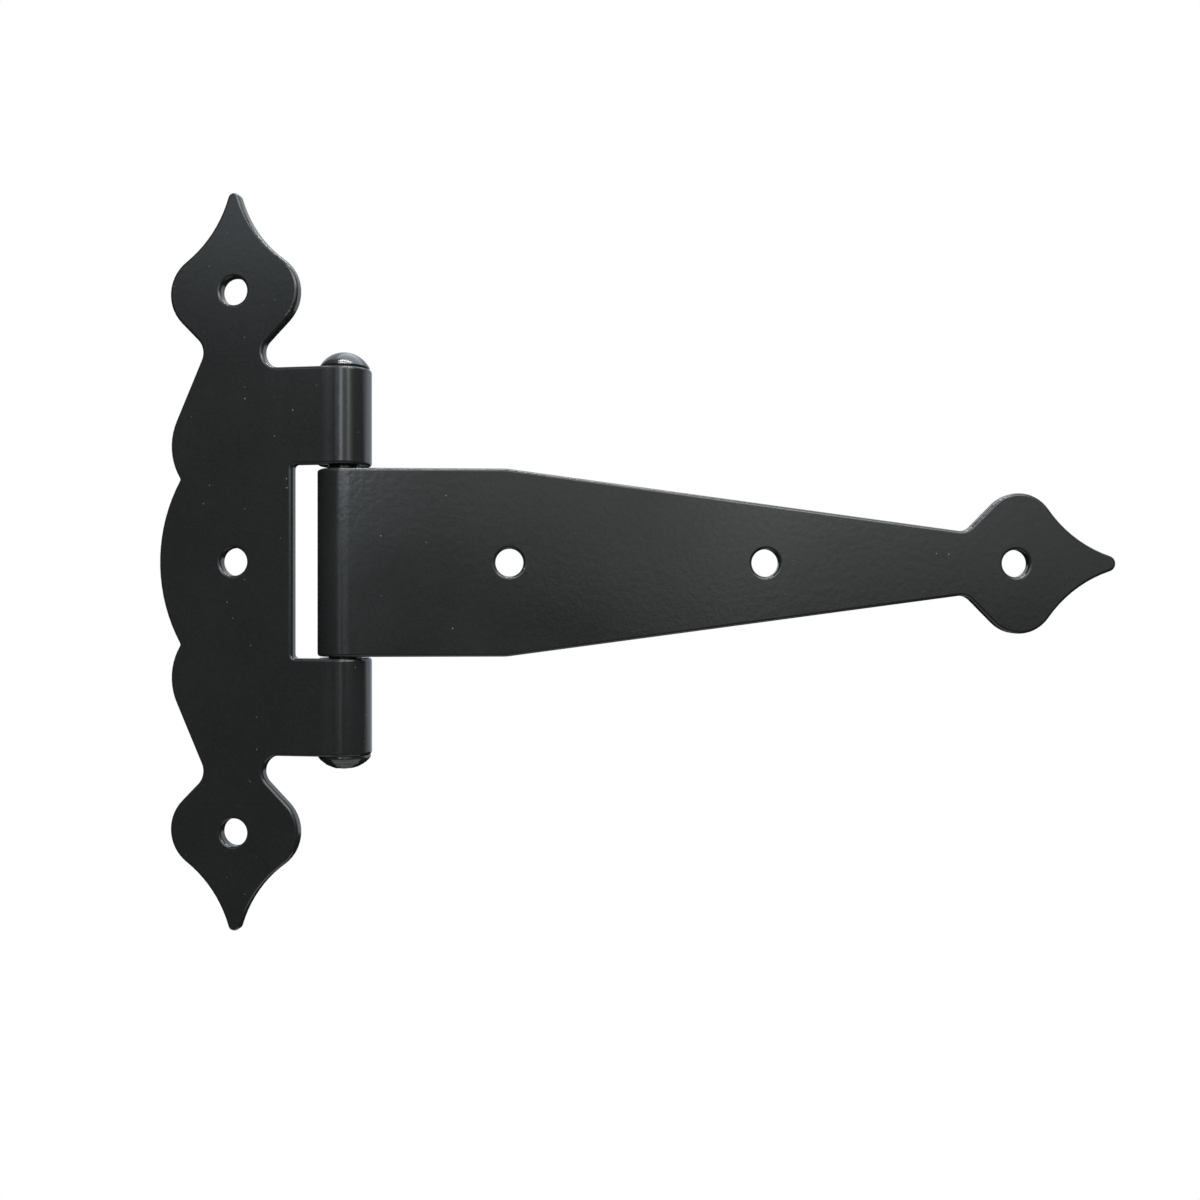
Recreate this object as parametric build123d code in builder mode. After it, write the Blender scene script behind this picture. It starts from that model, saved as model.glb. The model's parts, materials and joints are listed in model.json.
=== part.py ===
from build123d import *
import os
from math import acos, atan2, cos, degrees, radians, sin

# Decorative tee hinge: a scalloped frame leaf, a long tapered strap and a riveted pin.
# All three are drawn about the pin's centre line, the Z axis, from half-way up the
# knuckles. The frame leaf stands along X and Z, its flat side towards -Y and a finial
# above and below. The strap runs towards +X, swung a little towards +Y, the knuckles'
# side. Then all three move so that the origin is the middle of the frame leaf's middle
# screw hole, half-way through the sheet. Millimetres and degrees throughout.

# Sheet, pin and knuckles
sheet_thickness = 2.1  # 2 mm steel with its powder coat
pin_diameter = 6.0
pin_clearance = 0.05  # all round the pin
roll_angle = 297  # how far round the pin the sheet is rolled
strap_width = 35.8
knuckle_gap = 0.5  # at each end of the strap's knuckle
strap_drop = 0.2  # how far the strap has sunk in its gaps
end_knuckle_length = 18.6
slot_clearance = 3.45  # from the strap's knuckle to the slot's long side
rest_swing = 12.0  # of the strap, from in line with the frame leaf

# Punched edges and screw holes
front_edge_radius = 0.6
back_edge_radius = 0.3
screw_hole_diameter = 5.3

# Frame leaf
finial_line = 20.4  # from the pin's centre line to the row of screw holes
frame_finial_rise = 14.5  # from the knuckle's end to the lobes' widest place
frame_hole_rise = 0.3  # from that place to the screw hole
slot_corner_radius = 0.8
bulge_reach = 35.6
bulge_radius = 31.7
scallop_reach = 33.2
scallop_radius = 11.8
scallop_level = 22.3
cusp_radius = 0.6
shoulder_angle = 24  # of the long straight edge, from the pin's direction
frame_neck_radius = 3.5
frame_root_radius = 3.0

# Strap
strap_length = 150.0  # from the pin's centre line to the tip
first_hole = 31.7
last_hole_setback = 0.7  # from the finial's widest place back to its screw hole
taper_start = 31.2
taper_end_width = 9.5  # of the taper if it ran on to the finial's widest place
taper_corner_radius = 8.0
strap_neck_radius = 3.0

# Finials: the lobes' half width and radius, the hollow flanks, the rounded tip, and
# the tip's reach from the lobes' widest place
frame_finial_half_width = 12.95
frame_lobe_radius = 7.75
frame_hollow_radius = 23.1
frame_tip_radius = 1.2
frame_finial_reach = 19.1
strap_finial_half_width = 13.7
strap_lobe_radius = 7.2
strap_hollow_radius = 24.5
strap_tip_radius = 1.6
strap_finial_reach = 19.3

# Pin ends: each is widest a little way off the knuckle it bears on
pin_head_diameter = 9.5
pin_head_height = 3.3
pin_head_rim = 0.4  # from the knuckle to the widest place
pin_head_seat_diameter = 9.1
peened_diameter = 10.0
peened_height = 2.5
peened_rim = 0.5
peened_seat_diameter = 9.5
peened_flat_diameter = 3.8
peened_bulge = 0.3  # of the hammered flank, out from a straight cone

# Sizes that follow from the fits
bore_radius = pin_diameter / 2 + pin_clearance
barrel_radius = bore_radius + sheet_thickness
slot_length = strap_width + 2 * knuckle_gap
slot_depth = barrel_radius + slot_clearance
barrel_half_length = slot_length / 2 + end_knuckle_length
frame_lobe_level = barrel_half_length + frame_finial_rise
frame_hole_pitch = frame_lobe_level + frame_hole_rise
strap_lobe_level = strap_length - strap_finial_reach
strap_hole_pitch = (strap_lobe_level - last_hole_setback - first_hole) / 2
root_margin = 0.01  # an edge nearer the pin's centre line is the knuckle's root


def spear_finial(half_width, lobe_radius, hollow_radius, tip_radius, reach):
    """A spear head pointing to +Y, with the lobes' widest place on the X axis."""
    lobe_centre = Vector(half_width - lobe_radius, 0)
    tip_centre = Vector(0, reach - tip_radius)
    # The hollow flank's arc touches both the lobe and the tip, which fixes its centre.
    to_lobe = lobe_radius + hollow_radius
    to_tip = tip_radius + hollow_radius
    apart = (tip_centre - lobe_centre).length
    corner = degrees(acos((to_lobe**2 + apart**2 - to_tip**2) / (2 * to_lobe * apart)))
    lobe_end = degrees(atan2(tip_centre.Y, -lobe_centre.X)) - corner
    hollow_centre = lobe_centre + Vector(to_lobe, 0).rotate(Axis.Z, lobe_end)
    flank = tip_centre - hollow_centre
    flank_end = degrees(atan2(flank.Y, flank.X)) % 360
    with BuildSketch() as finial:
        with BuildLine():
            lobe = CenterArc(lobe_centre, lobe_radius, -45, lobe_end + 45)
            CenterArc(hollow_centre, hollow_radius, lobe_end + 180, flank_end - lobe_end - 180)
            CenterArc(tip_centre, tip_radius, flank_end - 180, 270 - flank_end)
            root = lobe @ 0
            Line(root, (0, root.Y - root.X))
            mirror(about=Plane.YZ)
        make_face()
    return finial.sketch


def sheet_section(length):
    """The sheet's section where the flat turns into a knuckle, its rims rounded."""
    with BuildSketch() as section:
        with Locations((-barrel_radius, 0)):
            Rectangle(sheet_thickness, length, align=(Align.MIN, Align.MIN))
        fillet(vertices().group_by(Axis.X)[0], front_edge_radius)
        fillet(vertices().group_by(Axis.X)[-1], back_edge_radius)
    return section.sketch


def round_rims(across, run):
    """Rounds the punched rims of a flat leaf: more on its flat side than behind it."""
    for side, radius in ((0, front_edge_radius), (-1, back_edge_radius)):
        rims = faces().sort_by(Axis((0, 0, 0), across))[side].edges()
        fillet(rims.filter_by(lambda e: e.center().dot(run) > root_margin), radius)


# Frame leaf: one blank, scalloped on its outer edge, slotted for the strap's knuckle
# and rolled round the pin above and below the slot.
frame_run = Vector(-1, 0, 0)
frame_back = Vector(0, 1, 0)
scallop_centre = Vector(scallop_radius - scallop_reach, scallop_level)
shoulder_foot = scallop_centre + Vector(-scallop_radius, 0).rotate(Axis.Z, -shoulder_angle)
shoulder_run = (-finial_line - shoulder_foot.X) / sin(radians(shoulder_angle))
shoulder_top = shoulder_foot.Y + shoulder_run * cos(radians(shoulder_angle))
blank_height = 2 * (frame_lobe_level + frame_finial_reach)
frame_finial = spear_finial(
    frame_finial_half_width,
    frame_lobe_radius,
    frame_hollow_radius,
    frame_tip_radius,
    frame_finial_reach,
)

with BuildPart() as frame_leaf:
    with BuildSketch(Plane.XZ.offset(barrel_radius)):
        with Locations((bulge_radius - bulge_reach, 0)):
            Circle(bulge_radius)
        with Locations(scallop_centre, (scallop_centre.X, -scallop_centre.Y)):
            Circle(scallop_radius)
        with BuildLine():
            Polyline(
                (0, 0),
                (0, barrel_half_length),
                (-finial_line, barrel_half_length),
                (-finial_line, shoulder_top),
                shoulder_foot,
                (scallop_centre.X, 0),
                (0, 0),
            )
        make_face()
        mirror(about=Plane.XZ)
        Rectangle(
            bulge_reach,
            blank_height,
            align=(Align.MAX, Align.CENTER),
            mode=Mode.INTERSECT,
        )
        with Locations((-finial_line, frame_lobe_level)):
            add(frame_finial)
        with Locations((-finial_line, -frame_lobe_level)):
            add(frame_finial, rotation=180)
        lobe_foot = frame_lobe_level - frame_lobe_radius
        roots = vertices().filter_by(
            lambda v: -finial_line < v.X < -root_margin and abs(v.Y) < lobe_foot
        )
        fillet(roots, frame_root_radius)
        necks = vertices().filter_by(
            lambda v: v.X < -finial_line
            and shoulder_foot.Y + root_margin < abs(v.Y) < lobe_foot
        )
        fillet(necks, frame_neck_radius)
        cusps = vertices().filter_by(
            lambda v: v.X < scallop_centre.X and abs(v.Y) < scallop_level
        )
        fillet(cusps, cusp_radius)
        Rectangle(
            slot_depth,
            slot_length,
            align=(Align.MAX, Align.CENTER),
            mode=Mode.SUBTRACT,
        )
        slot_corners = vertices().filter_by(lambda v: abs(v.X + slot_depth) < root_margin)
        fillet(slot_corners, slot_corner_radius)
        with Locations((-finial_line, 0)):
            with GridLocations(0, frame_hole_pitch, 1, 3):
                Circle(screw_hole_diameter / 2, mode=Mode.SUBTRACT)
    extrude(amount=-sheet_thickness)
    round_rims(frame_back, frame_run)
    with BuildSketch(Plane.YZ):
        with Locations((0, slot_length / 2), (0, -barrel_half_length)):
            add(sheet_section(end_knuckle_length))
    revolve(axis=Axis.Z, revolution_arc=roll_angle)
frame_leaf.part.label = "frame_leaf"

# Strap: one blank, parallel and then tapered to its neck, with a spear head at the
# tip and its whole width rolled round the pin the other way.
strap_run = Vector(1, 0, 0).rotate(Axis.Z, rest_swing)
strap_back = Vector(0, 1, 0).rotate(Axis.Z, rest_swing)
strap_middle = (0, 0, -strap_drop)
strap_face = Plane(strap_middle, x_dir=strap_run, z_dir=-strap_back).offset(barrel_radius)
strap_root = Plane(strap_middle, x_dir=strap_back, z_dir=strap_run)
strap_finial = spear_finial(
    strap_finial_half_width,
    strap_lobe_radius,
    strap_hollow_radius,
    strap_tip_radius,
    strap_finial_reach,
)

with BuildPart() as strap_leaf:
    with BuildSketch(strap_face):
        with BuildLine():
            Polyline(
                (strap_lobe_level, 0),
                (strap_lobe_level, taper_end_width / 2),
                (taper_start, strap_width / 2),
                (0, strap_width / 2),
                (0, 0),
            )
            mirror(about=Plane.XZ)
        make_face()
        with Locations((strap_lobe_level, 0)):
            add(strap_finial, rotation=-90)
        necks = vertices().filter_by(
            lambda v: taper_start + root_margin < v.X < strap_lobe_level - strap_lobe_radius
        )
        fillet(necks, strap_neck_radius)
        taper_corners = vertices().filter_by(lambda v: abs(v.X - taper_start) < root_margin)
        fillet(taper_corners, taper_corner_radius)
        with Locations((first_hole + strap_hole_pitch, 0)):
            with GridLocations(strap_hole_pitch, 0, 3, 1):
                Circle(screw_hole_diameter / 2, mode=Mode.SUBTRACT)
    extrude(amount=-sheet_thickness)
    round_rims(strap_back, strap_run)
    with BuildSketch(strap_root):
        with Locations((0, -strap_width / 2)):
            add(sheet_section(strap_width))
    revolve(axis=-Axis.Z, revolution_arc=roll_angle)
strap_leaf.part.label = "strap_leaf"

# Pin: a domed rivet pushed down through the knuckles, its lower end hammered over.
top = barrel_half_length
crown = Vector(0, top + pin_head_height)
head_rim = Vector(pin_head_diameter / 2, top + pin_head_rim)
head_seat = Vector(pin_head_seat_diameter / 2, top)
end_rim = Vector(peened_diameter / 2, -top - peened_rim)
end_flat = Vector(peened_flat_diameter / 2, -top - peened_height)

with BuildPart() as hinge_pin:
    with BuildSketch(Plane.XZ):
        with BuildLine():
            dome = TangentArc(crown, head_rim, tangent=(1, 0))
            TangentArc(head_rim, head_seat, tangent=dome % 1)
            Polyline(
                head_seat,
                (pin_diameter / 2, top),
                (pin_diameter / 2, -top),
                (peened_seat_diameter / 2, -top),
                end_rim,
            )
            SagittaArc(end_rim, end_flat, peened_bulge)
            Polyline(end_flat, (0, end_flat.Y), crown)
        make_face()
    revolve(axis=Axis.Z)
hinge_pin.part.label = "hinge_pin"

# The origin goes to the frame leaf's middle screw hole, half-way through the sheet.
to_screw_holes = Location((finial_line, barrel_radius - sheet_thickness / 2, 0))
frame_leaf.part.move(to_screw_holes)
strap_leaf.part.move(to_screw_holes)
hinge_pin.part.move(to_screw_holes)

os.makedirs("parts", exist_ok=True)
export_step(frame_leaf.part, "parts/frame_leaf.step")
export_step(strap_leaf.part, "parts/strap_leaf.step")
export_step(hinge_pin.part, "parts/hinge_pin.step")
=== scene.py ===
import bpy
import json
from math import asin, cos, radians, sin
from mathutils import Matrix, Vector


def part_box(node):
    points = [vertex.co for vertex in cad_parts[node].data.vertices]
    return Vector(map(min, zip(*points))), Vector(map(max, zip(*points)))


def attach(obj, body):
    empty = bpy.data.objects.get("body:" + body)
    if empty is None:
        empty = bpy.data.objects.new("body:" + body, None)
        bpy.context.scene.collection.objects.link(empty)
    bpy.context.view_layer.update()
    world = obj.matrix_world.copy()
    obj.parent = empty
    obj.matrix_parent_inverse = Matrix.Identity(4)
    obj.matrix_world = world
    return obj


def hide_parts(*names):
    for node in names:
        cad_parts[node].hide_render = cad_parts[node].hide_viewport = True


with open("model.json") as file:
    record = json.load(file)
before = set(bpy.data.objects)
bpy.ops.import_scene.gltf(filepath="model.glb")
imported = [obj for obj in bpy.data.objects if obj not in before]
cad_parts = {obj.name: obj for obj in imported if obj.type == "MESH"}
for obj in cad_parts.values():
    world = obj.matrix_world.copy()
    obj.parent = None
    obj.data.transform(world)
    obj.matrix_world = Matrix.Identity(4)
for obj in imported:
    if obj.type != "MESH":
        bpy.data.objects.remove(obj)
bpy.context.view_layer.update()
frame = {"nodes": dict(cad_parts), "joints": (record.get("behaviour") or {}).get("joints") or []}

# Frame leaf: one blank of 2 mm steel sheet, punched with its scallops, finials, slot and
# screw holes and rolled into two knuckles, then sprayed with black powder and baked.
# It is the CAD node, whose punched rims are already rounded.

COAT_IOR = 1.5  # of baked polyester
THICK_BLACK = "#212222"
THIN_BLACK = "#292a2a"
DUST_GREY = "#7f817f"
SCRATCH_GREY = "#6f7170"
NOISE_LOW, NOISE_HIGH = 0.3, 0.7  # most of a noise texture lies between them
CLOUD_WIDTH = 0.014  # metres over which the coat's black and gloss wander
PEEL_WAVE = 0.0012  # from crest to crest of the baked coat's shallow waves
GRAIN_WIDTH = 0.0004  # the powder's own 0.05 mm grain, drawn as coarse as shows
GRAIN_CONTRAST = 0.3  # to either side, as a share of the way from thick to thin black
GRAIN_HEIGHT = 0.2  # in the bump, as a share of the waves
SATIN_SPREAD = 0.03  # of the roughness, to either side
SPECK_SPACING = 0.0012  # between the places where a speck of dust may lie
SPECK_RADIUS = 0.00016
SPECK_HEIGHT = 3.0  # in the bump, as a share of the waves
DASH_SPACING = 0.0011  # between the places where a short scratch may lie
DASH_RADIUS = 0.00009
DASH_STRETCH = 6  # times as long as it is wide
DASH_SLOPE = 34  # degrees below the level, running down to the right
MARK_CORE = 0.4  # of a mark's radius, inside which it shows in full


def linear(hex_colour):
    """An sRGB hex colour as linear red, green, blue and alpha."""
    shares = [int(hex_colour[i:i + 2], 16) / 255 for i in (1, 3, 5)]
    return [s / 12.92 if s <= 0.04045 else ((s + 0.055) / 1.055) ** 2.4 for s in shares] + [1]


def add_node(tree, kind, settings={}, links={}):
    """Adds a node with its settings and links. A number names a socket by its place."""
    node = tree.nodes.new(kind)
    for name, value in settings.items():
        if isinstance(name, int) or name in node.inputs:
            node.inputs[name].default_value = value
        else:
            setattr(node, name, value)
    for name, socket in links.items():
        tree.links.new(socket, node.inputs[name])
    return node.outputs


def scattered(tree, place, spacing, radius, share):
    """Small round marks at random places: 1 at the middle of a mark, 0 off it."""
    cells = add_node(tree, "ShaderNodeTexVoronoi", {"Scale": 1 / spacing}, {"Vector": place})
    spot = add_node(
        tree, "ShaderNodeMapRange",
        {"From Min": radius / spacing, "From Max": MARK_CORE * radius / spacing},
        {"Value": cells["Distance"]},
    )
    chance = add_node(tree, "ShaderNodeSeparateColor", {}, {"Color": cells["Color"]})
    chosen = add_node(
        tree, "ShaderNodeMapRange",
        {"From Min": 1 - share, "From Max": 1},
        {"Value": chance["Red"]},
    )
    return add_node(
        tree, "ShaderNodeMath",
        {"operation": "MULTIPLY"},
        {0: spot["Result"], 1: chosen["Result"]},
    )["Value"]


def powder_coat(name, gloss_roughness, peel_depth, dust_share, dash_share):
    """Black powder coat, sprayed and baked. It gives the eye a soft satin sheen over
    shallow waves, near-black where nothing shines in it, with pale dust on it."""
    coat = bpy.data.materials.new(name)
    coat.use_nodes = True
    tree = coat.node_tree
    shader = tree.nodes["Principled BSDF"]
    shader.inputs["IOR"].default_value = COAT_IOR
    place = add_node(tree, "ShaderNodeTexCoord")["Object"]

    # The thickness of the baked coat wanders by a few hundredths, and its black with it.
    cloud = add_node(
        tree, "ShaderNodeTexNoise", {"Scale": 1 / CLOUD_WIDTH, "Detail": 3}, {"Vector": place}
    )["Fac"]
    grain = add_node(
        tree, "ShaderNodeTexNoise", {"Scale": 1 / GRAIN_WIDTH, "Detail": 1}, {"Vector": place}
    )["Fac"]
    grained = add_node(
        tree, "ShaderNodeMapRange",
        {
            "From Min": NOISE_LOW, "From Max": NOISE_HIGH,
            "To Min": -GRAIN_CONTRAST, "To Max": GRAIN_CONTRAST,
        },
        {"Value": grain},
    )["Result"]
    thinness = add_node(
        tree, "ShaderNodeMath", {"operation": "ADD"}, {0: cloud, 1: grained}
    )["Value"]
    black = add_node(
        tree, "ShaderNodeMix",
        {"data_type": "RGBA", 6: linear(THICK_BLACK), 7: linear(THIN_BLACK)},
        {0: thinness},
    )[2]

    # Short scratches all run one way, and specks of dust lie over them.
    dash_place = add_node(
        tree, "ShaderNodeMapping",
        {
            "vector_type": "TEXTURE",
            "Rotation": (0, radians(DASH_SLOPE), 0),
            "Scale": (DASH_STRETCH, 1, 1),
        },
        {"Vector": place},
    )["Vector"]
    dashes = scattered(tree, dash_place, DASH_SPACING, DASH_RADIUS, dash_share)
    scratched = add_node(
        tree, "ShaderNodeMix",
        {"data_type": "RGBA", 7: linear(SCRATCH_GREY)},
        {0: dashes, 6: black},
    )[2]
    specks = scattered(tree, place, SPECK_SPACING, SPECK_RADIUS, dust_share)
    dusty = add_node(
        tree, "ShaderNodeMix",
        {"data_type": "RGBA", 7: linear(DUST_GREY)},
        {0: specks, 6: scratched},
    )[2]
    tree.links.new(dusty, shader.inputs["Base Color"])

    # Dust and scratches are dull; the coat between them keeps its satin.
    satin = add_node(
        tree, "ShaderNodeMapRange",
        {"To Min": gloss_roughness - SATIN_SPREAD, "To Max": gloss_roughness + SATIN_SPREAD},
        {"Value": cloud},
    )["Result"]
    dull = add_node(
        tree, "ShaderNodeMath", {"operation": "MAXIMUM"}, {0: specks, 1: dashes}
    )["Value"]
    roughness = add_node(
        tree, "ShaderNodeMath", {"operation": "MAXIMUM"}, {0: satin, 1: dull}
    )["Value"]
    tree.links.new(roughness, shader.inputs["Roughness"])

    # The bump: the waves, with a little of the grain on them and the specks proud of both.
    peel = add_node(
        tree, "ShaderNodeTexNoise", {"Scale": 1 / PEEL_WAVE, "Detail": 1}, {"Vector": place}
    )["Fac"]
    height = add_node(
        tree, "ShaderNodeMath",
        {"operation": "MULTIPLY_ADD", 1: GRAIN_HEIGHT},
        {0: grain, 2: peel},
    )["Value"]
    proud = add_node(
        tree, "ShaderNodeMath",
        {"operation": "MULTIPLY_ADD", 1: SPECK_HEIGHT},
        {0: specks, 2: height},
    )["Value"]
    bump = add_node(
        tree, "ShaderNodeBump", {"Strength": 1, "Distance": peel_depth}, {"Height": proud}
    )["Normal"]
    tree.links.new(bump, shader.inputs["Normal"])
    return coat


def ease_bend(coat, towards, roll_start, reach, depth, rise):
    """Sheet starts to turn a little before its roll and may lie a little flat where the
    roll begins. The coat's bump shows it, as it is too slight for the leaf's own shape:
    it falls by the depth up to that line, and past it rises again by a share of that."""
    tree = coat.node_tree
    place = add_node(tree, "ShaderNodeTexCoord")["Object"]
    along = add_node(
        tree, "ShaderNodeVectorMath", {"operation": "DOT_PRODUCT", 1: towards}, {0: place}
    )["Value"]
    falling = add_node(
        tree, "ShaderNodeMapRange",
        {
            "interpolation_type": "SMOOTHSTEP", "From Min": roll_start - reach,
            "From Max": roll_start, "To Min": 1, "To Max": 0,
        },
        {"Value": along},
    )["Result"]
    rising = add_node(
        tree, "ShaderNodeMapRange",
        {
            "interpolation_type": "SMOOTHSTEP", "From Min": roll_start,
            "From Max": roll_start + reach, "To Max": rise,
        },
        {"Value": along},
    )["Result"]
    level = add_node(
        tree, "ShaderNodeMath", {"operation": "ADD"}, {0: falling, 1: rising}
    )["Value"]
    turned = add_node(
        tree, "ShaderNodeBump", {"Strength": 1, "Distance": depth}, {"Height": level}
    )["Normal"]
    tree.links.new(turned, tree.nodes["Bump"].inputs["Normal"])


pin_line = Vector(frame["joints"][0]["pos_m"])

frame_leaf = frame["nodes"]["frame_leaf"]
frame_coat = powder_coat(
    "baked_powder_coat_frame_leaf",
    gloss_roughness=0.19, peel_depth=0.000010, dust_share=0.09, dash_share=0.05,
)
ease_bend(
    frame_coat,
    towards=Vector((1, 0, 0)), roll_start=pin_line.x, reach=0.0028, depth=0.00012, rise=1.05,
)
frame_leaf.data.materials.clear()
frame_leaf.data.materials.append(frame_coat)

# Strap leaf: one blank of the same sheet, tapered from its rolled knuckle to a spear head.
# The pin holds it between the frame leaf's knuckles. It is the CAD node, and its coat lies
# a little thicker, so that its waves show more.

STRAP_SWING = radians(12)  # from flat, as the hinge lies at rest

strap_leaf = frame["nodes"]["strap_leaf"]
strap_coat = powder_coat(
    "baked_powder_coat_strap_leaf",
    gloss_roughness=0.19, peel_depth=0.000018, dust_share=0.03, dash_share=0.0,
)
towards_roll = Vector((-cos(STRAP_SWING), -sin(STRAP_SWING), 0))
ease_bend(
    strap_coat,
    towards=towards_roll, roll_start=towards_roll.dot(pin_line), reach=0.0017, depth=0.00005,
    rise=0,
)
strap_leaf.data.materials.clear()
strap_leaf.data.materials.append(strap_coat)

# Hinge pin: a 6 mm steel rivet, cold headed to a smooth dome. It is pushed down through
# the three knuckles and its lower end is hammered over, which leaves rings and dents.
# It replaces the CAD pin to show them, and is coated with the leaves.

KNUCKLE_END = 0.037  # from half-way up the knuckles to their ends
SHANK_RADIUS = 0.003
PIN_SIDES = 128
HEAD_SEAT_RADIUS = 0.00455
HEAD_RIM_RADIUS = 0.00475
HEAD_RIM_RISE = 0.0004  # from the knuckle to the head's widest place
HEAD_RIM_SWELL = 0.00004  # half-way up to it, out from a straight cone
DOME_RINGS = 16
FIRST_DOME_RING = 0.4  # of a ring's step above the rim, to be clear of it
PEEN_SEAT_RADIUS = 0.0049
PEEN_RIM_RADIUS = 0.00495
PEEN_RIM_DROP = 0.0005
PEEN_FLAT_RADIUS = 0.0019
PEEN_BULGE = 0.0003  # of the hammered flank, out from a straight cone
FLANK_DOWN, FLANK_OUT = 0.84, 0.54  # the way that the flank faces
HAMMER_RINGS = 18
RING_STEP = 0.00005  # how proud every third ring of the hammered end stands
RING_WANDER = 0.35  # of a ring's step, by which the rings lie unevenly
RING_RHYTHM = 2.3  # radians of that unevenness from one ring to the next
FLAT_INSET = 0.0006  # between the edge loops that let the flat take dents
DENT_DEPTH = 0.00014
DENT_WIDTH = 0.0011
DENT_CLEARANCE = 0.0001  # by which the dents keep off the seat on the knuckle
SMOOTH_BELOW = radians(35)  # edges that turn more stay sharp
NEAR_END = 0.99  # of the way to an end face of the shank

pin_low, pin_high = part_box("hinge_pin")
dome_rise = pin_high.z - KNUCKLE_END
hammered_drop = -pin_low.z - KNUCKLE_END


def select_faces(piece, wanted):
    """Selects the faces that the test wants, and opens the piece for editing."""
    bpy.ops.object.mode_set(mode="EDIT")
    bpy.ops.mesh.select_mode(type="FACE")
    bpy.ops.mesh.select_all(action="DESELECT")
    bpy.ops.object.mode_set(mode="OBJECT")
    for face in piece.data.polygons:
        face.select = wanted(face)
    bpy.ops.object.mode_set(mode="EDIT")


def draw_out(rings, height, radius):
    """Extrudes the selected end face through rings, each a height and a radius."""
    for next_height, next_radius in rings:
        bpy.ops.mesh.extrude_region_move(
            TRANSFORM_OT_translate={"value": (0, 0, next_height - height)}
        )
        growth = next_radius / radius
        bpy.ops.transform.resize(value=(growth, growth, 1), center_override=pin_line)
        height, radius = next_height, next_radius


bpy.ops.object.select_all(action="DESELECT")
bpy.ops.mesh.primitive_cylinder_add(
    vertices=PIN_SIDES, radius=SHANK_RADIUS, depth=2 * KNUCKLE_END, location=pin_line
)
pin = bpy.context.object
pin.name = pin.data.name = "riveted_pin"
bpy.ops.object.transform_apply(location=True)

# The head: out over the knuckle, up to its rim, and over the dome's round.
dome_height = dome_rise - HEAD_RIM_RISE
dome_radius = (HEAD_RIM_RADIUS**2 + dome_height**2) / (2 * dome_height)
rim_angle = asin(HEAD_RIM_RADIUS / dome_radius)
rim_under = 0.5 * (HEAD_SEAT_RADIUS + HEAD_RIM_RADIUS) + HEAD_RIM_SWELL
dome = []
for ring in range(DOME_RINGS + 1):
    angle = rim_angle * (1 - max(ring, FIRST_DOME_RING) / (DOME_RINGS + 1))
    dome.append((pin_high.z - dome_radius * (1 - cos(angle)), dome_radius * sin(angle)))
select_faces(pin, lambda face: face.center.z > NEAR_END * KNUCKLE_END)
draw_out(
    [
        (KNUCKLE_END, HEAD_SEAT_RADIUS),
        (KNUCKLE_END + 0.5 * HEAD_RIM_RISE, rim_under),
        (KNUCKLE_END + HEAD_RIM_RISE, HEAD_RIM_RADIUS),
    ]
    + dome,
    KNUCKLE_END,
    SHANK_RADIUS,
)

# The hammered end: out over the knuckle, then in and down by uneven rings to a flat. Half
# a ring's step is left to the flat, and the flank bulges in full half-way down.
flank_rings = []
for ring in range(1, HAMMER_RINGS + 1):
    share = (ring + RING_WANDER * sin(RING_RHYTHM * ring)) / (HAMMER_RINGS + 0.5)
    proud = PEEN_BULGE * 4 * share * (1 - share) + RING_STEP * (ring % 3 == 0)
    drop = PEEN_RIM_DROP + (hammered_drop - PEEN_RIM_DROP) * share + FLANK_DOWN * proud
    radius = PEEN_RIM_RADIUS - (PEEN_RIM_RADIUS - PEEN_FLAT_RADIUS) * share + FLANK_OUT * proud
    flank_rings.append((-KNUCKLE_END - drop, radius))
select_faces(pin, lambda face: face.center.z < -NEAR_END * KNUCKLE_END)
draw_out(
    [
        (-KNUCKLE_END, PEEN_SEAT_RADIUS),
        (-KNUCKLE_END - 0.5 * PEEN_RIM_DROP, PEEN_RIM_RADIUS),
        (-KNUCKLE_END - PEEN_RIM_DROP, PEEN_RIM_RADIUS),
    ]
    + flank_rings,
    -KNUCKLE_END,
    SHANK_RADIUS,
)
bpy.ops.mesh.inset(thickness=FLAT_INSET)
bpy.ops.mesh.inset(thickness=FLAT_INSET)
bpy.ops.mesh.select_all(action="SELECT")
bpy.ops.mesh.normals_make_consistent(inside=False)
bpy.ops.object.mode_set(mode="OBJECT")

# Dents of the hammer's last light blows.
hammered = pin.vertex_groups.new(name="hammered_end")
dents_from = -KNUCKLE_END - DENT_CLEARANCE
hammered.add([v.index for v in pin.data.vertices if v.co.z < dents_from], 1, "REPLACE")
dents = bpy.data.textures.new("hammer_dents", "CLOUDS")
dents.noise_scale = DENT_WIDTH
bpy.ops.object.modifier_add(type="DISPLACE")
blows = pin.modifiers[-1]
blows.texture = dents
blows.texture_coords = "LOCAL"
blows.strength = DENT_DEPTH
blows.vertex_group = hammered.name
bpy.ops.object.modifier_apply(modifier=blows.name)
bpy.ops.object.shade_smooth_by_angle(angle=SMOOTH_BELOW)

pin_coat = powder_coat(
    "baked_powder_coat_pin",
    gloss_roughness=0.17, peel_depth=0.0000012, dust_share=0.03, dash_share=0.0,
)
pin.data.materials.append(pin_coat)
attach(pin, "frame")
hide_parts("hinge_pin")

# The camera looks at the hinge's flat side from a little to the strap's side of square,
# so close that the frame leaf's right-hand walls show.

CAMERA_TURN = radians(8.8)  # to the strap's side of square
CAMERA_DISTANCE = 0.2312  # from the pin's line
CAMERA_ASIDE = 0.049155  # to the right of the pin's line
CAMERA_DROP = 0.00732  # below the middle of the knuckles
SENSOR_WIDTH = 36  # mm
FOCAL_LENGTH = 36  # mm
NEAREST_SEEN = 0.01

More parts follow.
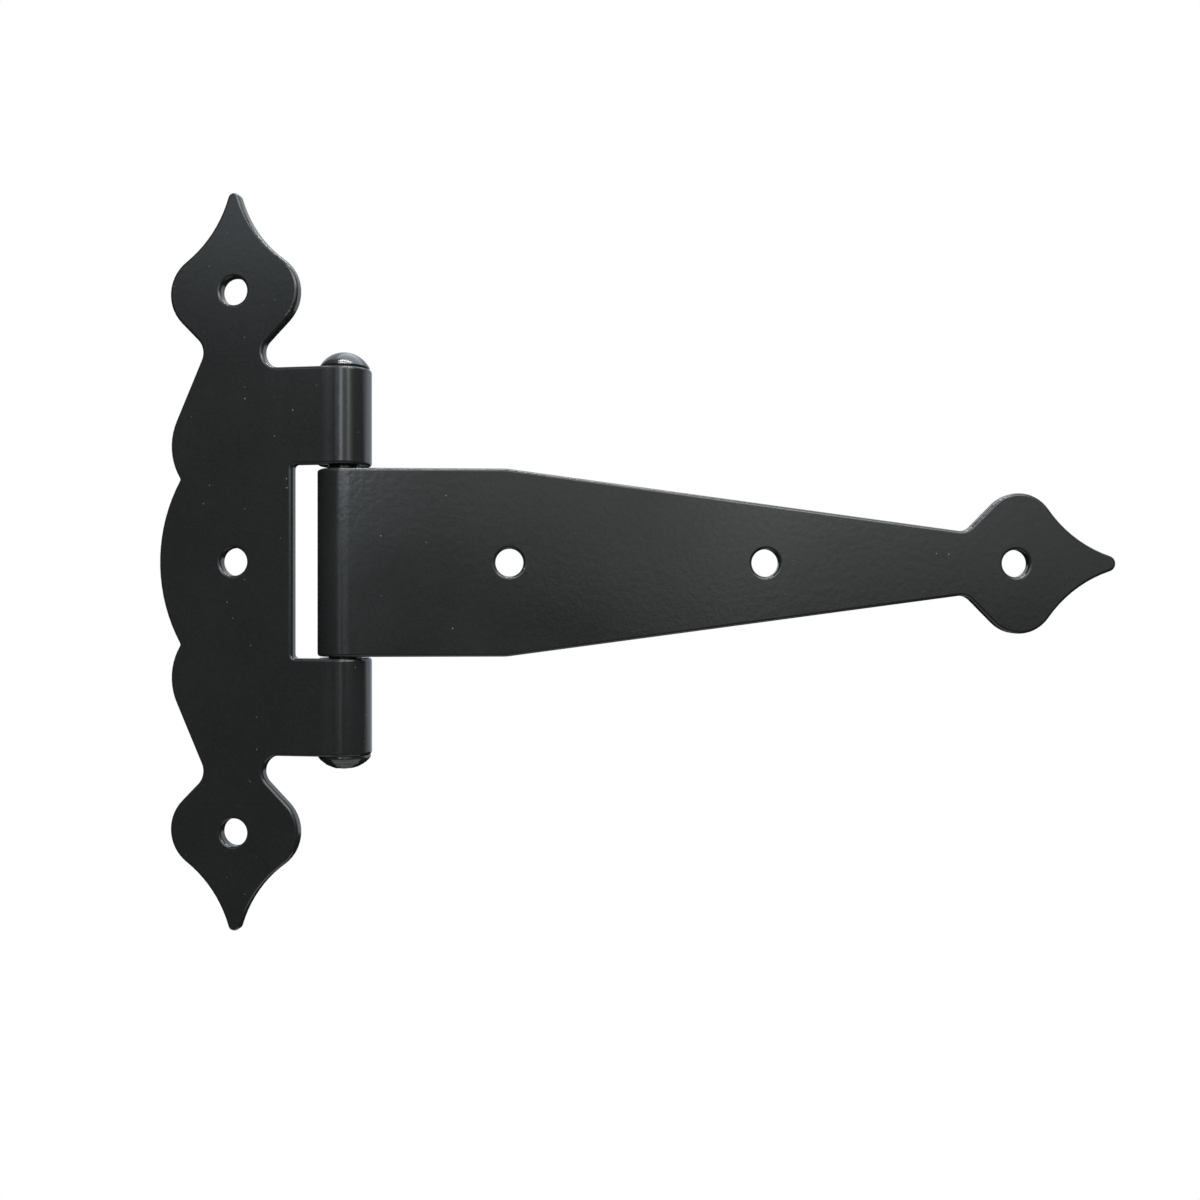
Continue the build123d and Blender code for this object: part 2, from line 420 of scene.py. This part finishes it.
forward = Vector((-sin(CAMERA_TURN), cos(CAMERA_TURN), 0))
right = Vector((cos(CAMERA_TURN), sin(CAMERA_TURN), 0))
lens = bpy.data.cameras.new("camera")
lens.sensor_width = SENSOR_WIDTH
lens.lens = FOCAL_LENGTH
lens.clip_start = NEAREST_SEEN
camera = bpy.data.objects.new("camera", lens)
camera.location = (
    pin_line - forward * CAMERA_DISTANCE + right * CAMERA_ASIDE - Vector((0, 0, CAMERA_DROP))
)
camera.rotation_euler = (radians(90), 0, CAMERA_TURN)
bpy.context.collection.objects.link(camera)
bpy.context.scene.camera = camera

# Floor: a round of board painted matt pale grey, well below the hinge. It takes the soft
# shadow near its middle, and from there it turns as white as the backdrop behind it.

FLOOR_MIDDLE = Vector((0.06, 0, -0.4))
FLOOR_RADIUS = 0.25
SHADOW_RADIUS = 0.08  # inside it the board shows the shadow best
WHITE_RADIUS = 0.24  # outside it the board shows as white as the backdrop
MIDDLE_GLOW = 0.6  # share of the backdrop's white inside the shadow's radius
PAINT_DARK = "#c8c8c6"
PAINT_PALE = "#cdcdcb"
MOTTLE_WIDTH = 0.02  # from one pale place of the rolled paint to the next

bpy.ops.object.select_all(action="DESELECT")
bpy.ops.mesh.primitive_circle_add(
    vertices=96, radius=FLOOR_RADIUS, fill_type="NGON", location=FLOOR_MIDDLE
)
floor = bpy.context.object
floor.name = floor.data.name = "floor"
bpy.ops.object.transform_apply(location=True)

# Matt emulsion, rolled: it gives the eye an even pale grey with no sheen.
paint = bpy.data.materials.new("matt_emulsion_paint_rolled")
paint.use_nodes = True
paint_tree = paint.node_tree
paint_shader = paint_tree.nodes["Principled BSDF"]
paint_shader.inputs["Roughness"].default_value = 0.9
paint_shader.inputs["Specular IOR Level"].default_value = 0.2
on_floor = add_node(paint_tree, "ShaderNodeTexCoord")["Object"]
mottle = add_node(
    paint_tree, "ShaderNodeTexNoise", {"Scale": 1 / MOTTLE_WIDTH}, {"Vector": on_floor}
)["Fac"]
pale_grey = add_node(
    paint_tree, "ShaderNodeMix",
    {"data_type": "RGBA", 6: linear(PAINT_DARK), 7: linear(PAINT_PALE)},
    {0: mottle},
)[2]
paint_tree.links.new(pale_grey, paint_shader.inputs["Base Color"])
from_middle = add_node(
    paint_tree, "ShaderNodeVectorMath",
    {"operation": "DISTANCE", 1: FLOOR_MIDDLE},
    {0: on_floor},
)["Value"]
whiter = add_node(
    paint_tree, "ShaderNodeMapRange",
    {"From Min": SHADOW_RADIUS, "From Max": WHITE_RADIUS, "To Min": MIDDLE_GLOW},
    {"Value": from_middle},
)["Result"]
floor_rays = add_node(paint_tree, "ShaderNodeLightPath")
floor_mirrored = add_node(
    paint_tree, "ShaderNodeMath", {"operation": "MAXIMUM"},
    {0: floor_rays["Is Glossy Ray"], 1: floor_rays["Is Transmission Ray"]},
)["Value"]
floor_seen = add_node(
    paint_tree, "ShaderNodeMath", {"operation": "MAXIMUM"},
    {0: floor_rays["Is Camera Ray"], 1: floor_mirrored},
)["Value"]
glow = add_node(
    paint_tree, "ShaderNodeMath", {"operation": "MULTIPLY"}, {0: whiter, 1: floor_seen}
)["Value"]
white = add_node(paint_tree, "ShaderNodeEmission", {"Strength": 1})["Emission"]
lit = add_node(
    paint_tree, "ShaderNodeMixShader", {}, {0: glow, 1: paint_shader.outputs["BSDF"], 2: white}
)["Shader"]
paint_tree.links.new(lit, paint_tree.nodes["Material Output"].inputs["Surface"])
floor.data.materials.append(paint)

# Lamps: soft panels round the hinge, at a level where a colour renders as it is written.
# The coat mirrors them as the photo shows: long tubes overhead in the pin's head, windows
# in the knuckles and rims, and a broad soft panel that fades down across the strap.

LAMP_AIM = Vector((0.06, 0, 0))
LAMP_WHITE = "#fafcfa"
DAYLIGHT = "#e9f3fc"


def hang_lamp(name, azimuth, elevation, distance, width, height, watts, colour, roll=0):
    """A soft panel round the hinge. Azimuth 0 is in front of it and 90 on its right."""
    across, up = radians(azimuth), radians(elevation)
    away = Vector((sin(across) * cos(up), -cos(across) * cos(up), sin(up))) * distance
    panel = bpy.data.lights.new(name, "AREA")
    panel.shape = "RECTANGLE"
    panel.size, panel.size_y = width, height
    panel.energy = watts
    panel.color = linear(colour)[:3]
    holder = bpy.data.objects.new(name, panel)
    holder.location = LAMP_AIM + away
    facing_hinge = (-away).to_track_quat("-Z", "Y").to_matrix()
    holder.rotation_euler = (facing_hinge @ Matrix.Rotation(radians(roll), 3, "Z")).to_euler()
    bpy.context.collection.objects.link(holder)


hang_lamp("tube_front", azimuth=10, elevation=70, distance=0.55,
          width=0.34, height=0.03, watts=1.3, colour=LAMP_WHITE)
hang_lamp("tube_overhead", azimuth=10, elevation=81, distance=0.55,
          width=0.34, height=0.03, watts=1.5, colour=LAMP_WHITE)
hang_lamp("overhead_panel", azimuth=165, elevation=70, distance=0.6,
          width=0.6, height=0.5, watts=2.2, colour=DAYLIGHT)
hang_lamp("broad_panel", azimuth=15, elevation=30, distance=0.8,
          width=0.6, height=0.25, watts=2.2, colour=LAMP_WHITE, roll=-19)
hang_lamp("middle_panel", azimuth=13, elevation=13.5, distance=0.8,
          width=0.55, height=0.3, watts=0.35, colour=LAMP_WHITE, roll=-25)
hang_lamp("low_panel", azimuth=37, elevation=8, distance=0.8,
          width=0.4, height=0.25, watts=0.17, colour=LAMP_WHITE)
hang_lamp("window_left", azimuth=-6, elevation=20.5, distance=0.8,
          width=0.17, height=0.42, watts=0.9, colour=DAYLIGHT)
hang_lamp("sill_left", azimuth=-8, elevation=-3, distance=0.8,
          width=0.12, height=0.18, watts=0.06, colour=DAYLIGHT)
hang_lamp("window_right", azimuth=33, elevation=18, distance=0.8,
          width=0.22, height=0.35, watts=0.25, colour=DAYLIGHT)
hang_lamp("left_panel", azimuth=-22, elevation=29, distance=0.8,
          width=0.5, height=0.3, watts=0.5, colour=DAYLIGHT)
hang_lamp("window_right_high", azimuth=45, elevation=38, distance=0.8,
          width=0.35, height=0.35, watts=2.5, colour=LAMP_WHITE)
hang_lamp("behind_low", azimuth=128, elevation=-4, distance=0.7,
          width=0.3, height=0.3, watts=0.15, colour=DAYLIGHT)
hang_lamp("behind_high", azimuth=138, elevation=14, distance=0.7,
          width=0.3, height=0.15, watts=0.06, colour=DAYLIGHT)

# World: the pale room. The camera sees it pure white all round. The coat mirrors it pale
# only overhead and behind, and dark in front and below, as though dark screens stood there,
# so its strength leaves Is Glossy Ray out.

PALE_SIDE = Vector((0.24, 0.66, 0.71)).normalized()
SCREENED, UNSCREENED = 0.52, 0.56  # the soft edge of the world's dark side, as cosines from the pale side
SCREEN_LEVEL = 0.02  # the world's strength on its dark side, as dark screens would give back of the room's light

world = bpy.data.worlds.new("studio")
bpy.context.scene.world = world
world.use_nodes = True
world_tree = world.node_tree
background = world_tree.nodes["Background"]
outwards = add_node(world_tree, "ShaderNodeTexCoord")["Generated"]
paleness = add_node(
    world_tree, "ShaderNodeVectorMath",
    {"operation": "DOT_PRODUCT", 1: PALE_SIDE},
    {0: outwards},
)["Value"]
unscreened = add_node(
    world_tree, "ShaderNodeMapRange",
    {"From Min": SCREENED, "From Max": UNSCREENED, "To Min": SCREEN_LEVEL, "To Max": 1},
    {"Value": paleness},
)["Result"]
world_rays = add_node(world_tree, "ShaderNodeLightPath")
world_seen = add_node(
    world_tree, "ShaderNodeMath", {"operation": "MAXIMUM"},
    {0: world_rays["Is Camera Ray"], 1: world_rays["Is Transmission Ray"]},
)["Value"]
strength = add_node(
    world_tree, "ShaderNodeMath", {"operation": "MAXIMUM"}, {0: unscreened, 1: world_seen}
)["Value"]
world_tree.links.new(strength, background.inputs["Strength"])
air = add_node(
    world_tree, "ShaderNodeMix",
    {"data_type": "RGBA", 6: linear(DAYLIGHT), 7: (1, 1, 1, 1)},
    {0: world_seen},
)[2]
world_tree.links.new(air, background.inputs["Color"])
bpy.context.scene.view_settings.view_transform = "Standard"
